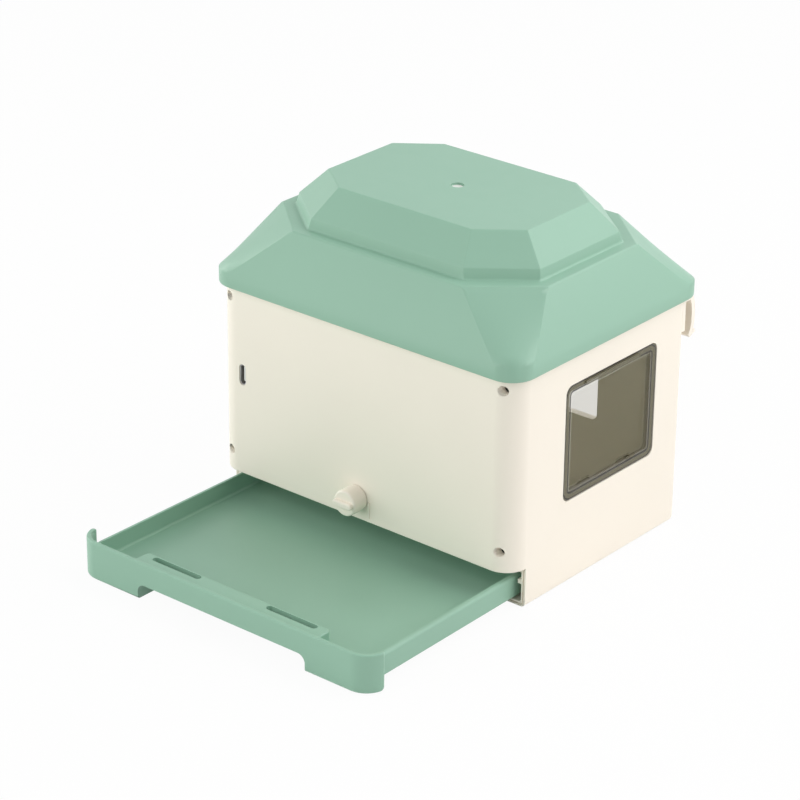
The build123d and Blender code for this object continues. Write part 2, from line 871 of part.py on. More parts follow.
cam_tip = cam_slot_half + cam_rim
cam_start = -cam_overrun
cam_end = 1 + cam_overrun
cam_base_radius = cam_rest_radius - latch_travel * cam_end + cam_tip
base_start = pi / 2 * (1 + cam_start)
base_middle = pi / 2 * (1 + (cam_start + cam_end) / 2) + pi


def cam_base_point(angle):
    """Point on the cam's base circle."""
    return (knob_x + cam_base_radius * cos(angle), knob_z + cam_base_radius * sin(angle))


with BuildPart() as lock_cam:
    with BuildSketch(facing_front(cam_back_y)):
        with BuildLine():
            Spline(*spiral(cam_start, cam_end, cam_tip))
            ThreePointArc(
                spiral_point(cam_end, cam_tip), cam_base_point(base_middle), cam_base_point(base_start)
            )
            Line(cam_base_point(base_start), spiral_point(cam_start, cam_tip))
        make_face()
        with BuildLine():
            track = Spline(*spiral(0, 1, 0))
        trace(track, line_width=2 * cam_slot_half, mode=Mode.SUBTRACT)
        with Locations(spiral_point(0, 0), spiral_point(1, 0)):
            Circle(cam_slot_half, mode=Mode.SUBTRACT)
    extrude(amount=cam_plate)
    with BuildSketch(facing_front(cam_back_y)):
        with Locations((knob_x, knob_z)):
            Circle(spindle_radius)
    extrude(amount=cam_back_y - hub_front_y)
    with BuildSketch(facing_front(cam_back_y)):
        with Locations((knob_x, knob_z)):
            Rectangle(drive_side + 2 * running_gap, drive_side + 2 * running_gap)
    extrude(amount=cam_back_y - hub_front_y, mode=Mode.SUBTRACT)

cam_screw = pan_head_screws(
    [(knob_x, knob_z)],
    cam_back_y,
    cam_head_radius,
    cam_head_height,
    cam_screw_radius,
    cam_screw_length - seat_gap,
    towards=-1,
)


# Latch plate with two tongues and a follower pin
tongue_bottom = slot_top + tongue_lift
bridge_bottom = follower_z - latch_bridge_below_pin
bridge_top = bridge_bottom + latch_bridge
with BuildPart() as latch_plate:
    with BuildSketch(facing_front(latch_front_y)):
        with Locations((0, (tongue_bottom + bridge_top) / 2)):
            Rectangle(2 * latch_half, bridge_top - tongue_bottom)
        with Locations((0, (tongue_bottom + bridge_bottom) / 2)):
            Rectangle(2 * latch_window_half, bridge_bottom - tongue_bottom, mode=Mode.SUBTRACT)
    extrude(amount=-latch_thickness)
    with BuildSketch(facing_front(latch_front_y)):
        with Locations((knob_x, follower_z)):
            Circle(follower_radius)
    extrude(amount=latch_front_y - cam_front_y)


# Cage hooks: bent straps, screwed on from inside the house
strap_y = rear_y + hook_strap / 2
arm_points = [(strap_y + reach, hook_top - drop) for reach, drop in hook_arm]
tip_y, tip_z = arm_points[-1]
with BuildPart() as hook_right:
    with BuildSketch(facing_right(hook_x - hook_width / 2)):
        with BuildLine():
            strap = FilletPolyline(
                (strap_y, hook_top - hook_plate_drop),
                (strap_y, hook_top - hook_strap / 2),
                *arm_points,
                radius=hook_bend,
            )
        trace(strap, line_width=hook_strap)
        with BuildLine():
            lip = Line((tip_y, tip_z), (tip_y + hook_lip_out, tip_z + hook_lip_rise))
        trace(lip, line_width=hook_lip)
    extrude(amount=hook_width)
    with BuildSketch(facing_front(rear_y)):
        with Locations(*[spot for spot in hook_spots if spot[0] > 0]):
            Circle(hook_screw_radius + thread_gap)
    extrude(amount=-hook_strap, mode=Mode.SUBTRACT)

with BuildPart() as hook_left:
    add(mirror(hook_right.part, about=Plane.YZ, mode=Mode.PRIVATE))

hook_screws = pan_head_screws(
    hook_spots,
    rear_y - wall,
    hook_head_radius,
    hook_head_height,
    hook_screw_radius,
    wall + hook_screw_grip,
    towards=1,
)


# Control board with the inlet and the parts on it
with BuildPart() as control_board:
    with BuildSketch(facing_front(board_back_y)):
        with Locations((board_x, inlet_z)):
            Rectangle(board_width, board_height)
        with Locations(*board_spots):
            Circle(board_screw_radius + seat_gap, mode=Mode.SUBTRACT)
    extrude(amount=board_thickness)

board_screws = pan_head_screws(
    board_spots,
    board_front_y,
    board_head_radius,
    board_head_height,
    board_screw_radius,
    board_screw_length,
    towards=1,
)

inlet_mouth_y = front_y + inlet_recess
inlet_reach = board_front_y - inlet_mouth_y
with BuildPart() as usb_shell:
    with BuildSketch(facing_front(board_front_y)):
        with Locations((inlet_x, inlet_z)):
            SlotOverall(inlet_length, inlet_width, rotation=90)
    extrude(amount=inlet_reach)
    with BuildSketch(facing_front(board_front_y - socket_floor)):
        with Locations((inlet_x, inlet_z)):
            SlotOverall(inlet_length - 2 * inlet_skin, inlet_width - 2 * inlet_skin, rotation=90)
    extrude(amount=inlet_reach - socket_floor, mode=Mode.SUBTRACT)

with BuildPart() as usb_tongue:
    with BuildSketch(facing_front(board_front_y - socket_floor)):
        with Locations((inlet_x, inlet_z)):
            Rectangle(tongue_width, tongue_length)
    extrude(amount=tongue_reach)


def board_part(x, z, size):
    """Component body on the front of the board, centred at x and z."""
    with BuildPart() as body:
        with BuildSketch(facing_front(board_front_y)):
            with Locations((x, z)):
                Rectangle(size[0], size[1])
        extrude(amount=size[2])
    return body


connector_x = board_x + board_width / 2 - connector_edge - connector_size[0] / 2
heater_z = inlet_z + part_spacing / 2
sensor_z = inlet_z - part_spacing / 2
control_chip = board_part(board_x, inlet_z - part_spacing, chip_size)
power_transistor = board_part(board_x - part_spacing / 4, inlet_z + part_spacing, transistor_size)
heater_connector = board_part(connector_x, heater_z, connector_size)
sensor_connector = board_part(connector_x, sensor_z, connector_size)

# Sensor on the film and the two pairs of leads
film_left = plate_x - film_width / 2
lead_end_x = film_left + lead_strip / 2
with BuildPart() as temperature_sensor:
    with BuildSketch(facing_front(film_front_y)):
        with Locations((lead_end_x, sensor_z)):
            Rectangle(sensor_size[0], sensor_size[1])
    extrude(amount=sensor_size[2])


def lead_pair(z, end_y):
    """Two leads from a connector, level to the lead strip and then back to end_y."""
    start_x = connector_x + connector_size[0] / 2
    run_y = board_front_y - connector_size[2] / 2
    with BuildPart() as leads:
        for rise in (-1, 1):
            height = z + rise * lead_pitch / 2
            with BuildLine():
                FilletPolyline(
                    (start_x, run_y, height),
                    (lead_end_x, run_y, height),
                    (lead_end_x, end_y, height),
                    radius=lead_bend,
                )
            with BuildSketch(Plane((start_x, run_y, height), x_dir=(0, 1, 0), z_dir=(1, 0, 0))):
                Circle(lead_radius)
            sweep()
    return leads


heater_leads = lead_pair(heater_z, film_front_y)
sensor_leads = lead_pair(sensor_z, film_front_y - sensor_size[2])

pieces = {
    "house_shell": house_shell,
    "front_cover": front_cover,
    "cover_screws": cover_screws,
    "inner_wall": inner_wall,
    "heat_plate": heat_plate,
    "plate_screws": plate_screws,
    "heating_film": heating_film,
    "insulation_sheet": insulation_sheet,
    "roof": roof,
    "vent_plug": vent_plug,
    "window_pane": window_pane,
    "tray": tray,
    "lock_knob": lock_knob,
    "lock_cam": lock_cam,
    "cam_screw": cam_screw,
    "latch_plate": latch_plate,
    "hook_right": hook_right,
    "hook_left": hook_left,
    "hook_screws": hook_screws,
    "control_board": control_board,
    "board_screws": board_screws,
    "usb_shell": usb_shell,
    "usb_tongue": usb_tongue,
    "control_chip": control_chip,
    "power_transistor": power_transistor,
    "heater_connector": heater_connector,
    "sensor_connector": sensor_connector,
    "temperature_sensor": temperature_sensor,
    "heater_leads": heater_leads,
    "sensor_leads": sensor_leads,
}

os.makedirs("parts", exist_ok=True)
for name, piece in pieces.items():
    piece.part.label = name
    export_step(piece.part, f"parts/{name}.step")
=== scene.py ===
# %% [markdown]
# # A heated nest for cage birds
# The nest is a small moulded house: cream walls, a sage green roof that lifts off, a tinted
# window, and a sage tray that slides out in front. The CAD model already holds every solid at
# its real size, so this lesson loads it as a fixed frame and gives it its finishes, its fine
# hardware, its light and its camera.

# %% Load the frame
import json
import math

import bmesh
import bpy
from mathutils import Euler, Matrix, Vector


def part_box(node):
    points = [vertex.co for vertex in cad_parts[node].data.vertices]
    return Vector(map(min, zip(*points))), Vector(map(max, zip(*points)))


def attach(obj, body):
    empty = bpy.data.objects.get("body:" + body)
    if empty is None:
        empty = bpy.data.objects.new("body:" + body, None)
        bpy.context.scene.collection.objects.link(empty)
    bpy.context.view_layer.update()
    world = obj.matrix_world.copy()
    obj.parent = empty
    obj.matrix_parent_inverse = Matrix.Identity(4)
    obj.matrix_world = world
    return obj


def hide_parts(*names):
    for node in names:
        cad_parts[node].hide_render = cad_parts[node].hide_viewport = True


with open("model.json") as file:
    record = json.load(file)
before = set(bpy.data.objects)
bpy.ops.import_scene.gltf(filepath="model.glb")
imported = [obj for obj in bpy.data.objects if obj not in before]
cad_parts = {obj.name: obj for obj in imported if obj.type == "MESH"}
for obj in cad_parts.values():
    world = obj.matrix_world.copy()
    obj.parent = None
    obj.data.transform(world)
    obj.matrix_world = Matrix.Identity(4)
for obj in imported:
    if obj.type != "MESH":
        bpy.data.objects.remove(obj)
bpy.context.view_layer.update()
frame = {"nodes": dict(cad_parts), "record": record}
nodes = frame["nodes"]
MM = 0.001

# %% [markdown]
# ## The camera
# The product is seen from the front right and a little above, through a long lens. The lens,
# the angles and the distance were found by fitting a camera to straight edges of the house,
# so they are plain numbers here. The picture leans by a little over half a degree, which is
# the roll.

# %% Camera
LENS_MM = 137.916
SENSOR_MM = 36.0
VIEW_AZIMUTH = math.radians(39.615)
VIEW_ELEVATION = math.radians(24.990)
VIEW_ROLL = math.radians(0.618)
VIEW_DISTANCE = 1.27679
VIEW_TARGET = Vector((-25.955, 0.0, 42.399)) * MM

towards_camera = Vector(
    (
        math.sin(VIEW_AZIMUTH) * math.cos(VIEW_ELEVATION),
        -math.cos(VIEW_AZIMUTH) * math.cos(VIEW_ELEVATION),
        math.sin(VIEW_ELEVATION),
    )
)
camera_data = bpy.data.cameras.new("product_view")
camera_data.lens = LENS_MM
camera_data.sensor_width = SENSOR_MM
camera = bpy.data.objects.new("product_view", camera_data)
bpy.context.scene.collection.objects.link(camera)
camera.location = VIEW_TARGET + towards_camera * VIEW_DISTANCE
level = Euler((math.pi / 2 - VIEW_ELEVATION, 0, VIEW_AZIMUTH)).to_matrix()
camera.rotation_euler = (level @ Matrix.Rotation(VIEW_ROLL, 3, "Z")).to_euler()
bpy.context.scene.camera = camera
bpy.context.scene.view_settings.view_transform = "Standard"
print("camera at", [round(x, 3) for x in camera.location])

# %% [markdown]
# ## Writing nodes as sums
# A node tree is easier to read as arithmetic than as a list of links. `Wire` holds one socket
# and turns `+`, `-`, `*`, `/` and `abs` into Math nodes. Its one method `make` adds any other
# node: first the node's settings, then the values or wires of its inputs.

# %% A wire is a socket with arithmetic
class Wire:
    """One output socket of a node tree. A Wire with no socket only holds the tree."""

    def __init__(self, tree, socket=None):
        self.tree = tree
        self.socket = socket

    def make(self, kind, settings=None, sockets=None, out=0):
        """Adds a node and returns a wire from one of its outputs."""
        node = self.tree.nodes.new(kind)
        for name, value in (settings or {}).items():
            setattr(node, name, value)
        for key, value in (sockets or {}).items():
            for one in value if isinstance(value, list) else [value]:
                if isinstance(one, Wire):
                    self.tree.links.new(one.socket, node.inputs[key])
                else:
                    node.inputs[key].default_value = one
        return Wire(self.tree, node.outputs[out]) if len(node.outputs) else None

    def math(self, operation, *values):
        """A Math node on numbers or wires."""
        return self.make("ShaderNodeMath", {"operation": operation}, dict(enumerate(values)))

    def __add__(self, other):
        return self.math("ADD", self, other)

    def __sub__(self, other):
        return self.math("SUBTRACT", self, other)

    def __rsub__(self, other):
        return self.math("SUBTRACT", other, self)

    def __mul__(self, other):
        return self.math("MULTIPLY", self, other)

    def __truediv__(self, other):
        return self.math("DIVIDE", self, other)

    def __abs__(self):
        return self.math("ABSOLUTE", self)

    __radd__ = __add__
    __rmul__ = __mul__


print("Wire is ready")

# %% Vectors and colours as wires
FACTOR_IN, FIRST_COLOUR_IN, SECOND_COLOUR_IN, COLOUR_OUT = 0, 6, 7, 2


def parts_of(triple):
    """The x, y and z of a vector wire."""
    return [triple.make("ShaderNodeSeparateXYZ", None, {0: triple}, out=i) for i in range(3)]


def vector(wire, x, y, z):
    """A vector wire from its x, y and z."""
    return wire.make("ShaderNodeCombineXYZ", None, {0: x, 1: y, 2: z})


def blend(factor, first, second):
    """A colour between two colours."""
    sockets = {FACTOR_IN: factor, FIRST_COLOUR_IN: first, SECOND_COLOUR_IN: second}
    return factor.make("ShaderNodeMix", {"data_type": "RGBA"}, sockets, out=COLOUR_OUT)


print("vector and colour helpers ready")

# %% [markdown]
# ## Floor, world and lamps
# The product stands on a plain white floor. The floor and the world look white to the camera
# and in reflections, while a dimmer white lights the object, so that the background costs the
# object no contrast. Two wide lamps on the right, a little behind, make the window wall and the
# slopes above it the lightest. Lamps high behind and overhead light the plateau and leave the
# tray in the house's soft shade. Two in front fill the upright front, and one on the left lifts
# the far corner. The lower right lamp is a trace warmer than the others, and the front and left
# ones are a trace greener, as white walls and a green tray would make them.

# %% Floor
FLOOR_SIZE = 8.0
FLOOR_DROP = 0.0002
FLOOR_WHITE = (0.86, 0.86, 0.85, 1)
FLOOR_SHARE = 0.95
PURE_WHITE = (1, 1, 1, 1)
DIRECT_RAYS = ("Is Camera Ray", "Is Glossy Ray", "Is Transmission Ray")


def material(name):
    """An empty material, with a wire for its tree."""
    made = bpy.data.materials.new(name)
    made.use_nodes = True
    made.node_tree.nodes.clear()
    return made, Wire(made.node_tree)


def seen_directly(tree):
    """1 for rays from the camera, a reflection or a clear piece, and 0 for light."""
    path = tree.make("ShaderNodeLightPath").socket.node
    rays = [Wire(tree.tree, path.outputs[name]) for name in DIRECT_RAYS]
    return rays[0].math("MINIMUM", rays[0] + rays[1] + rays[2], 1.0)


half = FLOOR_SIZE / 2
sides = ((-half, -half), (half, -half), (half, half), (-half, half))
floor_mesh = bpy.data.meshes.new("floor")
floor_mesh.from_pydata([(x, y, -FLOOR_DROP) for x, y in sides], [], [(0, 1, 2, 3)])
floor = bpy.data.objects.new("floor", floor_mesh)
bpy.context.scene.collection.objects.link(floor)

floor_paper, sheet = material("floor_paper")
matt = sheet.make("ShaderNodeBsdfDiffuse", None, {"Color": FLOOR_WHITE})
glow = sheet.make("ShaderNodeEmission", None, {"Color": PURE_WHITE, "Strength": 1.0})
paper = {0: seen_directly(sheet) * FLOOR_SHARE, 1: matt, 2: glow}
surface = sheet.make("ShaderNodeMixShader", None, paper)
sheet.make("ShaderNodeOutputMaterial", None, {"Surface": surface})
floor_mesh.materials.append(floor_paper)
print("floor made,", FLOOR_SIZE, "m wide")

# %% World
AMBIENT = 0.305

world = bpy.data.worlds.new("white_room")
bpy.context.scene.world = world
world.use_nodes = True
world.node_tree.nodes.clear()
room = Wire(world.node_tree)
strength = seen_directly(room) * (1 - AMBIENT) + AMBIENT
walls = room.make("ShaderNodeBackground", None, {"Color": PURE_WHITE, "Strength": strength})
room.make("ShaderNodeOutputWorld", None, {"Surface": walls})
print("the world lights the object with", AMBIENT, "of the white that the camera sees")

# %% Lamps
WARM = (1.0, 0.98, 0.975)
NEUTRAL = (1.0, 1.0, 1.0)
COOL = (0.965, 1.0, 0.965)
LAMP_AIM = Vector((0, -0.02, 0.06))
# For each lamp: where it stands, seen from its aim, its distance, its size, its watts and tint.
LAMPS = {
    "right_side": ((0.90, 0.40, 0.25), 1.1, 0.9, 2.5, WARM),
    "right_high": ((0.70, 0.35, 0.62), 1.1, 0.9, 5.4, NEUTRAL),
    "back_high": ((0.10, 0.60, 0.80), 1.2, 0.9, 4.3, NEUTRAL),
    "overhead": ((0.0, 0.0, 1.0), 1.2, 1.0, 0.7, NEUTRAL),
    "front_high": ((-0.15, -0.80, 0.58), 1.2, 0.8, 2.5, COOL),
    "front_low": ((-0.30, -0.95, 0.10), 1.2, 0.8, 4.1, COOL),
    "left_side": ((-0.95, -0.25, 0.20), 1.2, 0.9, 6.5, COOL),
}

for name, (stands, distance, size, watts, tint) in LAMPS.items():
    lamp = bpy.data.lights.new(name, "AREA")
    lamp.size = size
    lamp.energy = watts
    lamp.color = tint
    lamp_object = bpy.data.objects.new(name, lamp)
    bpy.context.scene.collection.objects.link(lamp_object)
    back = Vector(stands).normalized()
    lamp_object.location = LAMP_AIM + back * distance
    lamp_object.rotation_euler = back.to_track_quat("Z", "Y").to_euler()
print("lamps", ", ".join(LAMPS))

# %% [markdown]
# ## Moulded plastic
# The walls, roof, tray and knob are injection moulded in one colour. Such a surface is never
# quite even: the pigment drifts a little over the length of the flow, the sheen changes in
# soft patches, and the polished mould leaves a very fine grain. One recipe with a colour and a
# grain size makes all four plastics, and later the rubber of the leads. It reads Object
# coordinates, so nothing has to be unwrapped.

# %% What every finish needs
def object_place(tree):
    """The place on the object, in metres."""
    return tree.make("ShaderNodeTexCoord", out="Object")


def noise(tree, size, detail=2.0, place=None):
    """Soft noise from 0 to 1 whose blobs are about size metres across."""
    sockets = {"Vector": place or object_place(tree), "Scale": 1 / size, "Detail": detail}
    return tree.make("ShaderNodeTexNoise", None, sockets)


def bump(tree, height, depth, strength):
    """A normal that follows height, with depth in metres."""
    sockets = {"Strength": strength, "Distance": depth, "Height": height}
    return tree.make("ShaderNodeBump", None, sockets)


def shade(colour, share):
    """A colour made lighter or darker by a share."""
    return tuple(min(1.0, c * share) for c in colour) + (1,)


def finish(tree, **inputs):
    """The Principled shader and the output, with inputs by their socket names."""
    sockets = {name.replace("_", " "): value for name, value in inputs.items()}
    shader = tree.make("ShaderNodeBsdfPrincipled", None, sockets)
    tree.make("ShaderNodeOutputMaterial", None, {"Surface": shader})


print("finish helpers ready")

# %% Moulded plastic recipe
FLOW_LENGTH = 55 * MM
SHEEN_PATCH = 9 * MM
SHEEN_SPREAD = 0.10
MOULD_GRAIN = 0.35 * MM
MOULD_GRAIN_DEPTH = 0.012 * MM
CREAM = (0.934, 0.866, 0.764)
SAGE = (0.281, 0.482, 0.368)
ACETAL = (0.86, 0.86, 0.83)
BLACK = (0.025, 0.025, 0.028)


def moulded_plastic(name, colour, rough, drift=0.03, grain=MOULD_GRAIN):
    """Plastic of one colour that drifts a little, with soft sheen and a fine grain."""
    made, tree = material(name)
    flow = noise(tree, FLOW_LENGTH, detail=1.0)
    patches = noise(tree, SHEEN_PATCH)
    texture = noise(tree, grain, detail=1.0)
    finish(
        tree,
        Base_Color=blend(flow, shade(colour, 1 - drift), shade(colour, 1 + drift)),
        Roughness=patches * SHEEN_SPREAD + (rough - SHEEN_SPREAD / 2),
        Normal=bump(tree, texture, MOULD_GRAIN_DEPTH, strength=0.35),
    )
    return made


finishes = {
    "cream_plastic": moulded_plastic("cream_plastic", CREAM, rough=0.40),
    "sage_plastic": moulded_plastic("sage_plastic", SAGE, rough=0.42),
    "white_acetal": moulded_plastic("white_acetal", ACETAL, rough=0.35, drift=0.015),
    "black_plastic": moulded_plastic("black_plastic", BLACK, rough=0.45, drift=0.1),
}
print("plastics:", ", ".join(finishes))

# %% [markdown]
# ## The tinted window
# The pane is a thin clear moulding with a smoky tint. Its edge is a step: a flange that lies on
# the wall and a plug that fills the opening. A refracting shader would keep the lamps' light out
# of the nest, because light does not pass straight through it. So each face of the pane is a thin
# smoky film instead, which lets most light through. On the flange the moulding is seen edge on
# and holds back far more. At the step a painted shade line and a painted highlight line stand in
# for light that the clear step bends and reflects, and at its rim another painted shade line does
# the same. All of these follow from one distance: how far a point lies outside the opening's
# rounded outline.

# %% How far outside the opening
FLANGE = 3.0 * MM
OPENING_CORNER = 1.85 * MM


def outside_opening(tree):
    """Distance outside the rounded outline of the window's opening, below 0 within it."""
    low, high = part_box("window_pane")
    place = parts_of(object_place(tree))
    over = [
        abs(place[i] - (low[i] + high[i]) / 2) - ((high[i] - low[i]) / 2 - FLANGE - OPENING_CORNER)
        for i in (1, 2)
    ]
    past = [o.math("MAXIMUM", o, 0.0) for o in over]
    round_part = past[0].math("SQRT", past[0] * past[0] + past[1] * past[1])
    straight_part = over[0].math("MINIMUM", over[0].math("MAXIMUM", *over), 0.0)
    return round_part + straight_part - OPENING_CORNER


def between(wire, low, high):
    """1 where a value lies between two numbers, and 0 elsewhere."""
    return wire.math("GREATER_THAN", wire, low) * wire.math("LESS_THAN", wire, high)


print("the flange is", FLANGE / MM, "mm wide")

# %% Tinted pane
PANE_TINT = (0.262, 0.228, 0.124)
TINT_DRIFT = 0.1
TINT_PATCH = 30 * MM
FLANGE_TINT = (0.178, 0.162, 0.098, 1)
# Painted shade and painted highlight: the colours of the lines at the pane's step and rim.
PAINTED_SHADE_LINE = (0.03, 0.027, 0.02, 1)
PAINTED_HIGHLIGHT_LINE = (0.72, 0.70, 0.60, 1)
# How much each part holds back, with more at the painted shade and highlight lines.
HOLDS_BACK = {"film": 0.24, "flange": 0.50, "painted_shade_lines": 0.34, "light": 0.12}
# Where the painted shade lines and the painted highlight line lie, as distance outside the
# opening.
SHADE_LINE_AT_STEP = (-0.25 * MM, 0.45 * MM)
SHADE_LINE_AT_RIM = (FLANGE - 0.65 * MM, FLANGE)
HIGHLIGHT_AT_STEP = (-0.90 * MM, -0.50 * MM)
SMEAR_PATCH = 12 * MM
SMEAR_SPREAD = 0.03
POLISHED = 0.02
PANE_IOR = 1.49


def tinted_pane():
    """A smoky film that holds back more on the flange and at the lines of its step and rim."""
    made, tree = material("tinted_pane")
    out = outside_opening(tree)
    flange = out.math("GREATER_THAN", out, 0.0)
    # Masks of the painted shade lines at step and rim, and of the painted highlight line at the
    # step.
    painted_shade_lines = between(out, *SHADE_LINE_AT_STEP) + between(out, *SHADE_LINE_AT_RIM)
    light = between(out, *HIGHLIGHT_AT_STEP)
    patches = noise(tree, TINT_PATCH, detail=1.0)
    film = blend(patches, shade(PANE_TINT, 1 - TINT_DRIFT), shade(PANE_TINT, 1 + TINT_DRIFT))
    shade_lined_film = blend(painted_shade_lines, blend(flange, film, FLANGE_TINT), PAINTED_SHADE_LINE)
    finish(
        tree,
        Base_Color=blend(light, shade_lined_film, PAINTED_HIGHLIGHT_LINE),
        Roughness=noise(tree, SMEAR_PATCH) * SMEAR_SPREAD + POLISHED,
        Alpha=flange * HOLDS_BACK["flange"]
        + painted_shade_lines * HOLDS_BACK["painted_shade_lines"]
        + light * HOLDS_BACK["light"]
        + HOLDS_BACK["film"],
        IOR=PANE_IOR,
    )
    return made


finishes["tinted_pane"] = tinted_pane()
print("the pane holds back", HOLDS_BACK)

# %% [markdown]
# ## Metals
# The inner screws and the inlet's shell are plated steel: bright, with a faint cloudy haze. The
# cover's screws sit at the bottom of deep holes whose shade looks black, so they get the same
# finish in near black: painted shade.
# The heat plate is rolled aluminium with its grain along X, which stretched noise gives.

# %% Steel, aluminium and gold
HAZE_PATCH = 1.5 * MM
HAZE_SPREAD = 0.2
HAZE_DARK, HAZE_LIGHT = 0.86, 1.05
METAL_GRAIN = 0.3 * MM
METAL_GRAIN_DEPTH = 0.01 * MM
GRAIN_DARK, GRAIN_LIGHT = 0.88, 1.06
ALONG_X = (0.02, 1, 1)
STEEL = (0.62, 0.62, 0.63)
ALUMINIUM = (0.80, 0.80, 0.81)
GOLD = (0.95, 0.72, 0.32)
HOLE_SHADE_BLACK = (0.07, 0.066, 0.06)


def plated(name, colour, rough):
    """Plated metal with a cloudy haze."""
    made, tree = material(name)
    haze = noise(tree, HAZE_PATCH, detail=3.0)
    finish(
        tree,
        Base_Color=blend(haze, shade(colour, HAZE_DARK), shade(colour, HAZE_LIGHT)),
        Metallic=1.0,
        Roughness=haze * HAZE_SPREAD + (rough - HAZE_SPREAD / 2),
        Normal=bump(tree, noise(tree, METAL_GRAIN), METAL_GRAIN_DEPTH, strength=0.3),
    )
    return made


def rolled(name, colour, along, rough, spread):
    """Rolled metal with its grain drawn out one way."""
    made, tree = material(name)
    stretched = {"Vector": object_place(tree), "Scale": along}
    place = tree.make("ShaderNodeMapping", None, stretched)
    grain = noise(tree, METAL_GRAIN, detail=3.0, place=place)
    finish(
        tree,
        Base_Color=blend(grain, shade(colour, GRAIN_DARK), shade(colour, GRAIN_LIGHT)),
        Metallic=1.0,
        Roughness=grain * spread + rough,
        Normal=bump(tree, grain, METAL_GRAIN_DEPTH, strength=0.5),
    )
    return made


finishes["screw_steel"] = plated("screw_steel", STEEL, rough=0.30)
finishes["heat_aluminium"] = rolled("heat_aluminium", ALUMINIUM, ALONG_X, rough=0.3, spread=0.15)
contact_gold = plated("contact_gold", GOLD, rough=0.25)
# Painted shade: the cover's screws are near black so that their deep holes read black.
hole_shade_steel = plated("hole_shade_steel", HOLE_SHADE_BLACK, rough=0.42)
print("metals made")

# %% [markdown]
# ## Finishes inside the front wall
# Behind the front cover there is a thin amber heating film with a printed track, a sheet of
# closed-cell foam, a small green board and rubber-covered leads. None of them shows while the
# house is shut, but the part can be opened, so each gets its own surface.

# %% Heating film
TRACK_PITCH = 4 * MM
TRACK_REACH = 0.22
TRACK_DEPTH = 0.02 * MM
FILM_ROUGH, TRACK_SMOOTHER = 0.3, 0.06
AMBER = (0.62, 0.27, 0.04, 1)
TRACK_COLOUR = (0.80, 0.50, 0.20, 1)


def amber_film():
    """Amber film with straight tracks, each a little smoother than the film."""
    made, tree = material("amber_film")
    turns = parts_of(object_place(tree))[0] / TRACK_PITCH
    wave = abs(turns.math("FRACT", turns) - 0.5)
    track = wave.math("LESS_THAN", wave, TRACK_REACH)
    finish(
        tree,
        Base_Color=blend(track, AMBER, TRACK_COLOUR),
        Roughness=FILM_ROUGH - track * TRACK_SMOOTHER,
        Normal=bump(tree, track, TRACK_DEPTH, strength=0.4),
    )
    return made


finishes["amber_film"] = amber_film()
print("film with a track every", TRACK_PITCH / MM, "mm")

# %% Foam
CELL = 0.6 * MM
CELL_DEPTH = 0.15 * MM
FOAM_ROUGH, CELL_ROUGHER = 0.85, 0.1
CELL_DARK = (0.11, 0.11, 0.115, 1)
CELL_LIGHT = (0.16, 0.16, 0.165, 1)


def closed_cell_foam():
    """Grey foam of small closed cells."""
    made, tree = material("grey_foam")
    sockets = {"Vector": object_place(tree), "Scale": 1 / CELL}
    cells = tree.make("ShaderNodeTexVoronoi", None, sockets)
    finish(
        tree,
        Base_Color=blend(cells, CELL_DARK, CELL_LIGHT),
        Roughness=cells * CELL_ROUGHER + FOAM_ROUGH,
        Normal=bump(tree, cells, CELL_DEPTH, strength=0.6),
    )
    return made


finishes["grey_foam"] = closed_cell_foam()
print("foam with cells of", CELL / MM, "mm")

# %% Board and leads
LANE = 6 * MM
LANE_GAP = {"Mortar Size": 0.04, "Mortar Smooth": 0.1}
LANE_DEPTH = 0.03 * MM
MASK_ROUGH, LANE_ROUGHER = 0.28, 0.08
LEAD_ROUGH = 0.5
GAP_OUT = 1
MASK_GREEN = (0.014, 0.10, 0.035, 1)
LANE_GREEN = (0.03, 0.17, 0.06, 1)
LEAD_RED = (0.45, 0.03, 0.025)
RUBBER_GRAIN = 0.2 * MM


def solder_mask():
    """Green mask over thin copper lanes, which show a little lighter."""
    made, tree = material("board_green")
    sockets = {"Vector": object_place(tree), "Scale": 1 / LANE} | LANE_GAP
    lanes = tree.make("ShaderNodeTexBrick", {"offset": 0.5}, sockets, out=GAP_OUT)
    finish(
        tree,
        Base_Color=blend(lanes, MASK_GREEN, LANE_GREEN),
        Roughness=lanes * LANE_ROUGHER + MASK_ROUGH,
        Normal=bump(tree, lanes, LANE_DEPTH, strength=0.4),
    )
    return made


finishes["board_green"] = solder_mask()
finishes["red_lead"] = moulded_plastic("red_lead", LEAD_RED, LEAD_ROUGH, 0.06, RUBBER_GRAIN)
print("finishes:", ", ".join(sorted(finishes)))

# %% [markdown]
# ## Dressing the solids
# The record names a finish for every solid. A loaded solid is loose triangles, which shade as
# flat facets, so each solid gets a copy whose corners are welded and whose gentle bends are
# shaded smooth. Triangles that lie in one plane are first joined to one face, because long thin
# triangles would pull the shading of a flat wall towards its rounded edges. A Weighted Normal
# modifier then keeps the large faces flat. The copy has the same shape and stands for the solid.
# The screws are left out here, because they are made in a later step.

# %% Weld and dress
SMOOTH_BELOW = math.radians(28)
WELD = 0.002 * MM
ONE_PLANE = math.radians(0.05)
LARGE_FACE_WEIGHT = 90
SCREW_NODES = ("cover_screws", "plate_screws", "hook_screws", "board_screws", "cam_screw")
bodies = frame["record"]["behaviour"]["bodies"]
body_of = {node: body for body, members in bodies.items() for node in members}
slot_of = {row["node"]: row["material_slot"] for row in frame["record"]["subparts"]}


def settle(piece):
    """Turns a piece's modifiers into a plain mesh."""
    ready = piece.evaluated_get(bpy.context.evaluated_depsgraph_get())
    mesh = bpy.data.meshes.new_from_object(ready)
    piece.modifiers.clear()
    piece.data = mesh
    return piece


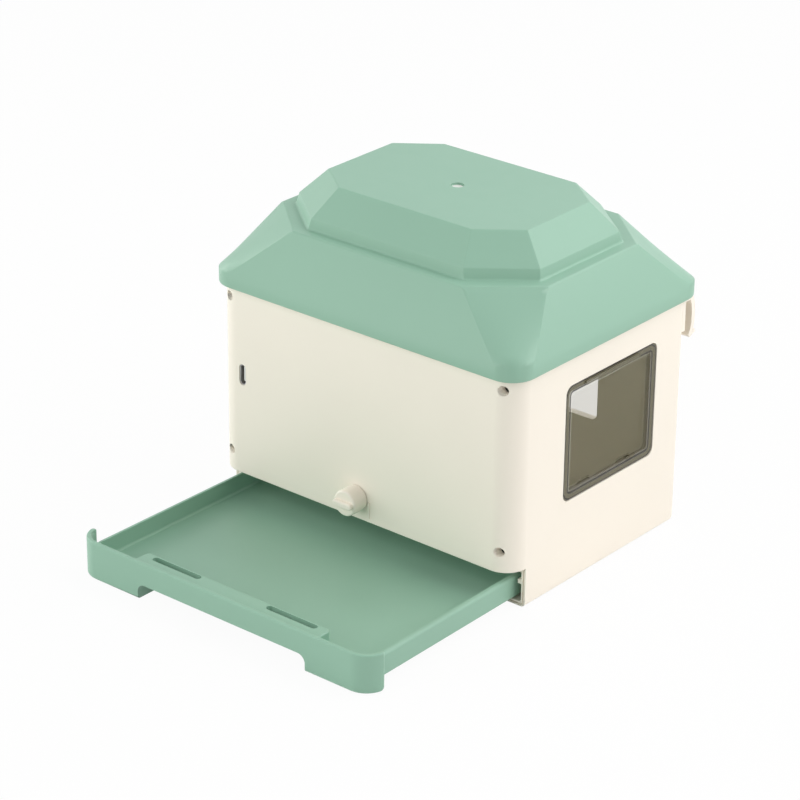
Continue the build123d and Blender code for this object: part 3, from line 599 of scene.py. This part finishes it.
def welded_copy(node):
    """A smooth-shaded copy of a solid, riding on the same body and standing for it."""
    mesh = bpy.data.meshes.new(node + "_surface")
    work = bmesh.new()
    work.from_mesh(nodes[node].data)
    bmesh.ops.remove_doubles(work, verts=work.verts, dist=WELD)
    bmesh.ops.dissolve_limit(work, angle_limit=ONE_PLANE, verts=work.verts, edges=work.edges)
    work.to_mesh(mesh)
    work.free()
    mesh.shade_smooth()
    mesh.set_sharp_from_angle(angle=SMOOTH_BELOW)
    mesh.materials.clear()
    mesh.materials.append(finishes[slot_of[node]])
    piece = bpy.data.objects.new(node + "_surface", mesh)
    bpy.context.scene.collection.objects.link(piece)
    even = piece.modifiers.new("even_shading", "WEIGHTED_NORMAL")
    even.mode = "FACE_AREA"
    even.weight = LARGE_FACE_WEIGHT
    even.keep_sharp = True
    settle(piece)
    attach(piece, body_of[node])
    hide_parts(node)
    return piece


dressed = {node: welded_copy(node) for node in nodes if node not in SCREW_NODES}
print("dressed", len(dressed), "solids")

# %% [markdown]
# ## The cover's round corners
# The front cover wraps round both front corners in a wide arc, and screw holes break that arc
# into uneven faces. Shading that averages those faces shows faint streaks on a surface that is
# truly round. The cover ends where its arcs meet the side walls, so the arcs' axes lie on its
# rear edge, and each face corner on an arc simply gets the normal that points straight away
# from its axis.

# %% True normals on the corners
CORNER_RADIUS = 10 * MM
ON_ARC = 0.03 * MM
UPRIGHT = 0.3
FACING = math.cos(math.radians(40))


def round_corners(piece):
    """Sets radial normals on the upright arcs at a cover's two front corners."""
    mesh = piece.data
    low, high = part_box("front_cover")
    axes = [(x, high[1]) for x in (low[0] + CORNER_RADIUS, high[0] - CORNER_RADIUS)]
    normals = [corner.vector.copy() for corner in mesh.corner_normals]
    changed = 0
    for face in mesh.polygons:
        if abs(face.normal.z) > UPRIGHT:
            continue
        for loop in face.loop_indices:
            point = mesh.vertices[mesh.loops[loop].vertex_index].co
            for x, y in axes:
                away = Vector((point.x - x, point.y - y, 0))
                on_arc = abs(away.length - CORNER_RADIUS) < ON_ARC
                if on_arc and away.normalized().dot(face.normal) > FACING:
                    normals[loop] = away.normalized()
                    changed += 1
    mesh.normals_split_custom_set(normals)
    return changed


print("radial normals on", round_corners(dressed["front_cover"]), "face corners")

# %% [markdown]
# ## Screws
# Small pan-head screws hold the cover, the heat plate, the hooks, the board and the knob's cam.
# Their solids only hold the sizes: a plain head on a plain shank. Screws repeat, so one Geometry
# Nodes tree makes a screw from its measures, with a domed head, a cross recess, a pointed shank
# and a rolled thread, and puts one on every seat. The seats and the measures are read from the
# solids, so nothing is typed twice.

# %% Trees with named inputs
def node_group(name, **inputs):
    """A Geometry Nodes tree with named inputs, a wire for the tree and one for each input."""
    tree = bpy.data.node_groups.new(name, "GeometryNodeTree")
    tree.interface.new_socket("Geometry", in_out="OUTPUT", socket_type="NodeSocketGeometry")
    labels = {key: key.replace("_", " ") for key in inputs}
    for key, kind in inputs.items():
        tree.interface.new_socket(labels[key], in_out="INPUT", socket_type="NodeSocket" + kind)
    entry = tree.nodes.new("NodeGroupInput")
    return tree, Wire(tree), {key: Wire(tree, entry.outputs[labels[key]]) for key in inputs}


def close_group(wire, geometry, finish_wire):
    """Ends a tree: instances become real faces with one finish."""
    real = wire.make("GeometryNodeRealizeInstances", None, {"Geometry": geometry})
    done = wire.make("GeometryNodeSetMaterial", None, {"Geometry": real, "Material": finish_wire})
    wire.make("NodeGroupOutput", None, {0: done})


def run_group(name, mesh, tree, **inputs):
    """A piece made by a tree from a mesh, as a plain mesh."""
    piece = bpy.data.objects.new(name, mesh)
    bpy.context.scene.collection.objects.link(piece)
    modifier = piece.modifiers.new(tree.name, "NODES")
    modifier.node_group = tree
    entries = [item for item in tree.interface.items_tree if item.in_out == "INPUT"]
    sockets = {item.name: item.identifier for item in entries}
    for key, value in inputs.items():
        modifier[sockets[key.replace("_", " ")]] = value
    return settle(piece)


def lifted(wire, geometry, height, turn=(0, 0, 0)):
    """A geometry moved up by height after a turn."""
    sockets = {"Geometry": geometry, "Translation": vector(wire, 0, 0, height), "Rotation": turn}
    return wire.make("GeometryNodeTransform", None, sockets)


print("group helpers ready")

# %% [markdown]
# A screw stands on its seat with its axis along Z: the head above and the shank below. The head
# is a drum whose top falls towards its rim, less two crossed bars. The rod reaches a little into
# the head and the point a little into the rod, so that no two faces lie in one place.

# %% Head and shank
DOME = 0.45
RECESS_LENGTH = 1.2
RECESS_WIDTH = 0.26
HEAD_SIDES, HEAD_RINGS = 32, 6
CORE = 0.8
OVERLAP = 0.1
TIP = 0.1
POINT_BASE = 0.98
SHANK_SIDES = 20
STEPS_PER_TURN = 18
RIDGE_SIDES = 4


def screw_head(wire, radius, height):
    """A domed head with a cross recess."""
    sides = {"Vertices": HEAD_SIDES, "Side Segments": 1, "Fill Segments": HEAD_RINGS}
    sizes = {"Radius": radius, "Depth": height}
    fan = {"fill_type": "TRIANGLE_FAN"}
    drum = wire.make("GeometryNodeMeshCylinder", fan, sides | sizes)
    x, y, z = parts_of(wire.make("GeometryNodeInputPosition"))
    fall = (x * x + y * y) / (radius * radius) * height * DOME * z.math("GREATER_THAN", z, 0.0)
    sunk = {"Geometry": drum, "Offset": vector(wire, 0, 0, 0 - fall)}
    domed = wire.make("GeometryNodeSetPosition", None, sunk)
    bar_size = vector(wire, radius * RECESS_LENGTH, radius * RECESS_WIDTH, height)
    bar = wire.make("GeometryNodeMeshCube", None, {"Size": bar_size})
    bars = [lifted(wire, bar, height * 0.5, (0, 0, turn)) for turn in (0, math.pi / 2)]
    cut = {"operation": "DIFFERENCE", "solver": "EXACT"}
    head = wire.make("GeometryNodeMeshBoolean", cut, {"Mesh 1": domed, "Mesh 2": bars})
    return lifted(wire, head, height * 0.5)


def screw_shank(wire, radius, length, pitch, head_height):
    """A rod, a point and a thread, as a list."""
    core, straight = radius * CORE, length - radius
    in_head, in_rod = head_height * OVERLAP, radius * OVERLAP
    sizes = {"Vertices": SHANK_SIDES, "Radius": core, "Depth": straight + in_head}
    rod = wire.make("GeometryNodeMeshCylinder", None, sizes)
    ends = {"Radius Top": core * TIP, "Radius Bottom": core * POINT_BASE}
    sizes = {"Vertices": SHANK_SIDES, "Depth": radius + in_rod}
    point = wire.make("GeometryNodeMeshCone", None, sizes | ends)
    turns = {"Resolution": STEPS_PER_TURN, "Rotations": straight / pitch, "Height": straight}
    ends = {"Start Radius": core, "End Radius": core}
    spiral = wire.make("GeometryNodeCurveSpiral", None, turns | ends)
    sizes = {"Resolution": RIDGE_SIDES, "Radius": radius - core}
    ridge = wire.make("GeometryNodeCurvePrimitiveCircle", None, sizes)
    swept = {"Curve": spiral, "Profile Curve": ridge, "Fill Caps": True}
    thread = wire.make("GeometryNodeCurveToMesh", None, swept)
    return [
        lifted(wire, rod, (in_head - straight) * 0.5),
        lifted(wire, point, in_rod - straight, (math.pi, 0, 0)),
        lifted(wire, thread, straight * -1.0),
    ]


print("a screw's core is", CORE, "of its thread's radius")

# %% A tree that makes pan-head screws
SHARP_FROM = math.radians(35)


def crisp_shading(wire, geometry):
    """Smooth shading that keeps sharp edges."""
    smooth = {"Geometry": geometry, "Shade Smooth": True}
    rounded = wire.make("GeometryNodeSetShadeSmooth", None, smooth)
    angle = wire.make("GeometryNodeInputMeshEdgeAngle")
    sharp = angle.math("GREATER_THAN", angle, SHARP_FROM)
    edges = {"Geometry": rounded, "Selection": sharp, "Shade Smooth": False}
    return wire.make("GeometryNodeSetShadeSmooth", {"domain": "EDGE"}, edges)


def screw_tree():
    """The tree that puts a screw on every seat."""
    tree, wire, size = node_group(
        "pan_head_screws",
        Seats="Geometry",
        Head_Radius="Float",
        Head_Height="Float",
        Shank_Radius="Float",
        Shank_Length="Float",
        Thread_Pitch="Float",
        Turn="Float",
        Finish="Material",
    )
    radius, height = size["Head_Radius"], size["Head_Height"]
    shank, length = size["Shank_Radius"], size["Shank_Length"]
    head = screw_head(wire, radius, height)
    rest = screw_shank(wire, shank, length, size["Thread_Pitch"], height)
    screw = wire.make("GeometryNodeJoinGeometry", None, {"Geometry": [head] + rest})
    crisp = crisp_shading(wire, screw)
    turn = vector(wire, size["Turn"], 0, 0)
    places = {"Points": size["Seats"], "Instance": crisp, "Rotation": turn}
    set_out = wire.make("GeometryNodeInstanceOnPoints", None, places)
    close_group(wire, set_out, size["Finish"])
    return tree


screws = screw_tree()
print(screws.name, "has", len(screws.nodes), "nodes")

# %% Seats and measures from the solids
HEAD_SHARE = 0.9


def islands(mesh):
    """The points of each separate solid in a mesh."""
    work = bmesh.new()
    work.from_mesh(mesh)
    bmesh.ops.remove_doubles(work, verts=work.verts, dist=WELD)
    found, seen = [], set()
    for first in work.verts:
        if first in seen:
            continue
        seen.add(first)
        group = [first]
        for vert in group:
            for other in (edge.other_vert(vert) for edge in vert.link_edges):
                if other not in seen:
                    seen.add(other)
                    group.append(other)
        found.append([vert.co.copy() for vert in group])
    work.free()
    return found


def screw_measures(points):
    """The seat of one screw along Y and its sizes, from the points of its solid."""
    xs, ys, zs = zip(*points)
    x, z = (min(xs) + max(xs)) / 2, (min(zs) + max(zs)) / 2
    reach = {tuple(p): math.hypot(p.x - x, p.z - z) for p in points}
    radius = max(reach.values())
    head_ys = [p[1] for p, r in reach.items() if r > HEAD_SHARE * radius]
    height = max(head_ys) - min(head_ys)
    faces_front = max(head_ys) < max(ys) - height / 2
    sizes = {
        "Head_Radius": radius,
        "Head_Height": height,
        "Shank_Radius": max(r for r in reach.values() if r <= HEAD_SHARE * radius),
        "Shank_Length": max(ys) - min(ys) - height,
        "Turn": math.pi / 2 if faces_front else -math.pi / 2,
    }
    return (x, max(head_ys) if faces_front else min(head_ys), z), sizes


screw_plans = {
    node: [screw_measures(points) for points in islands(nodes[node].data)] for node in SCREW_NODES
}
print("screws to make:", {node: len(plans) for node, plans in screw_plans.items()})

# %% Put a screw on every seat
PITCH_SHARE = 0.8


def carry(piece, node):
    """Makes a piece ride with a solid's body."""
    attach(piece, body_of[node])


for node, plans in screw_plans.items():
    seats = bpy.data.meshes.new(node + "_seats")
    seats.from_pydata([seat for seat, _ in plans], [], [])
    sizes = plans[0][1]
    pitch = sizes["Shank_Radius"] * PITCH_SHARE
    # The cover's screws take the near-black steel: painted shade for their deep holes.
    steel = hole_shade_steel if node == "cover_screws" else finishes["screw_steel"]
    piece = run_group(node + "_threaded", seats, screws, Thread_Pitch=pitch, Finish=steel, **sizes)
    carry(piece, node)
    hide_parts(node)
    print(node, len(plans), "screws,", len(piece.data.polygons), "faces")

# %% [markdown]
# ## Contacts and legs
# The inlet's tongue carries a row of gold contacts on each face, and the control chip stands on
# two rows of bent legs. A second tree repeats the mesh that it is given along a line, so one
# pair of contacts or legs is drawn as short prisms and the tree makes the rows.

# %% A tree that makes a row
def row_tree():
    """The tree that repeats a piece along a line."""
    inputs = {"Piece": "Geometry", "Count": "Int", "Spacing": "Vector", "Finish": "Material"}
    tree, wire, size = node_group("row_of_pieces", **inputs)
    steps = {"Count": size["Count"], "Offset": size["Spacing"]}
    line = wire.make("GeometryNodeMeshLine", None, steps)
    places = {"Points": line, "Instance": size["Piece"]}
    row = wire.make("GeometryNodeInstanceOnPoints", None, places)
    close_group(wire, row, size["Finish"])
    return tree


def prisms(name, outlines, middle, width):
    """Prisms along Z about a middle height, one for each outline in X and Y."""
    heights = (middle - width / 2, middle + width / 2)
    work = bmesh.new()
    for outline in outlines:
        low, high = ([work.verts.new((x, y, z)) for x, y in outline] for z in heights)
        work.faces.new(low)
        work.faces.new(high)
        for i in range(len(outline)):
            work.faces.new((low[i - 1], low[i], high[i], high[i - 1]))
    bmesh.ops.recalc_face_normals(work, faces=work.faces)
    mesh = bpy.data.meshes.new(name)
    work.to_mesh(mesh)
    work.free()
    return mesh


def first_of_row(low, high, count, pitch):
    """The height of the first piece of a row that is centred on a box."""
    return (low[2] + high[2]) / 2 - (count - 1) / 2 * pitch


rows = row_tree()
print(rows.name, "has", len(rows.nodes), "nodes")

# %% Contacts on the tongue
CONTACTS = 12
CONTACT_PITCH = 0.5 * MM
CONTACT_WIDTH = 0.26 * MM
CONTACT_SKIN = 0.02 * MM
CONTACT_BACK = 0.4 * MM

low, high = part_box("usb_tongue")
start = first_of_row(low, high, CONTACTS, CONTACT_PITCH)
tip, root = low[1] + CONTACT_BACK, high[1]
strips = [
    [(x, tip), (x + side * CONTACT_SKIN, tip), (x + side * CONTACT_SKIN, root), (x, root)]
    for x, side in ((low[0], -1), (high[0], 1))
]
contact = prisms("contact_pair", strips, start, CONTACT_WIDTH)
along = {"Count": CONTACTS, "Spacing": (0, 0, CONTACT_PITCH), "Finish": contact_gold}
contacts = run_group("inlet_contacts", contact, rows, **along)
carry(contacts, "usb_tongue")
print("contacts", len(contacts.data.polygons), "faces")

# %% Legs of the control chip
LEGS = 4
LEG_PITCH = 1.27 * MM
LEG_WIDTH = 0.42 * MM
LEG_THICK = 0.2 * MM
LEG_KNEE = 0.45 * MM
LEG_FOOT = 1.0 * MM

low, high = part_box("control_chip")
board_face, shoulder = high[1], (low[1] + high[1]) / 2


def leg(x, side):
    """The outline of one bent leg, from the chip's side down to the board."""
    knee, foot = x + side * LEG_KNEE, x + side * LEG_FOOT
    return [
        (x, shoulder),
        (knee, shoulder),
        (knee, board_face - LEG_THICK),
        (foot, board_face - LEG_THICK),
        (foot, board_face),
        (knee - side * LEG_THICK, board_face),
        (knee - side * LEG_THICK, shoulder + LEG_THICK),
        (x, shoulder + LEG_THICK),
    ]


start = first_of_row(low, high, LEGS, LEG_PITCH)
pair = prisms("leg_pair", [leg(low[0], -1), leg(high[0], 1)], start, LEG_WIDTH)
along = {"Count": LEGS, "Spacing": (0, 0, LEG_PITCH), "Finish": finishes["screw_steel"]}
legs = run_group("chip_legs", pair, rows, **along)
carry(legs, "control_chip")
print("chip legs", len(legs.data.polygons), "faces")
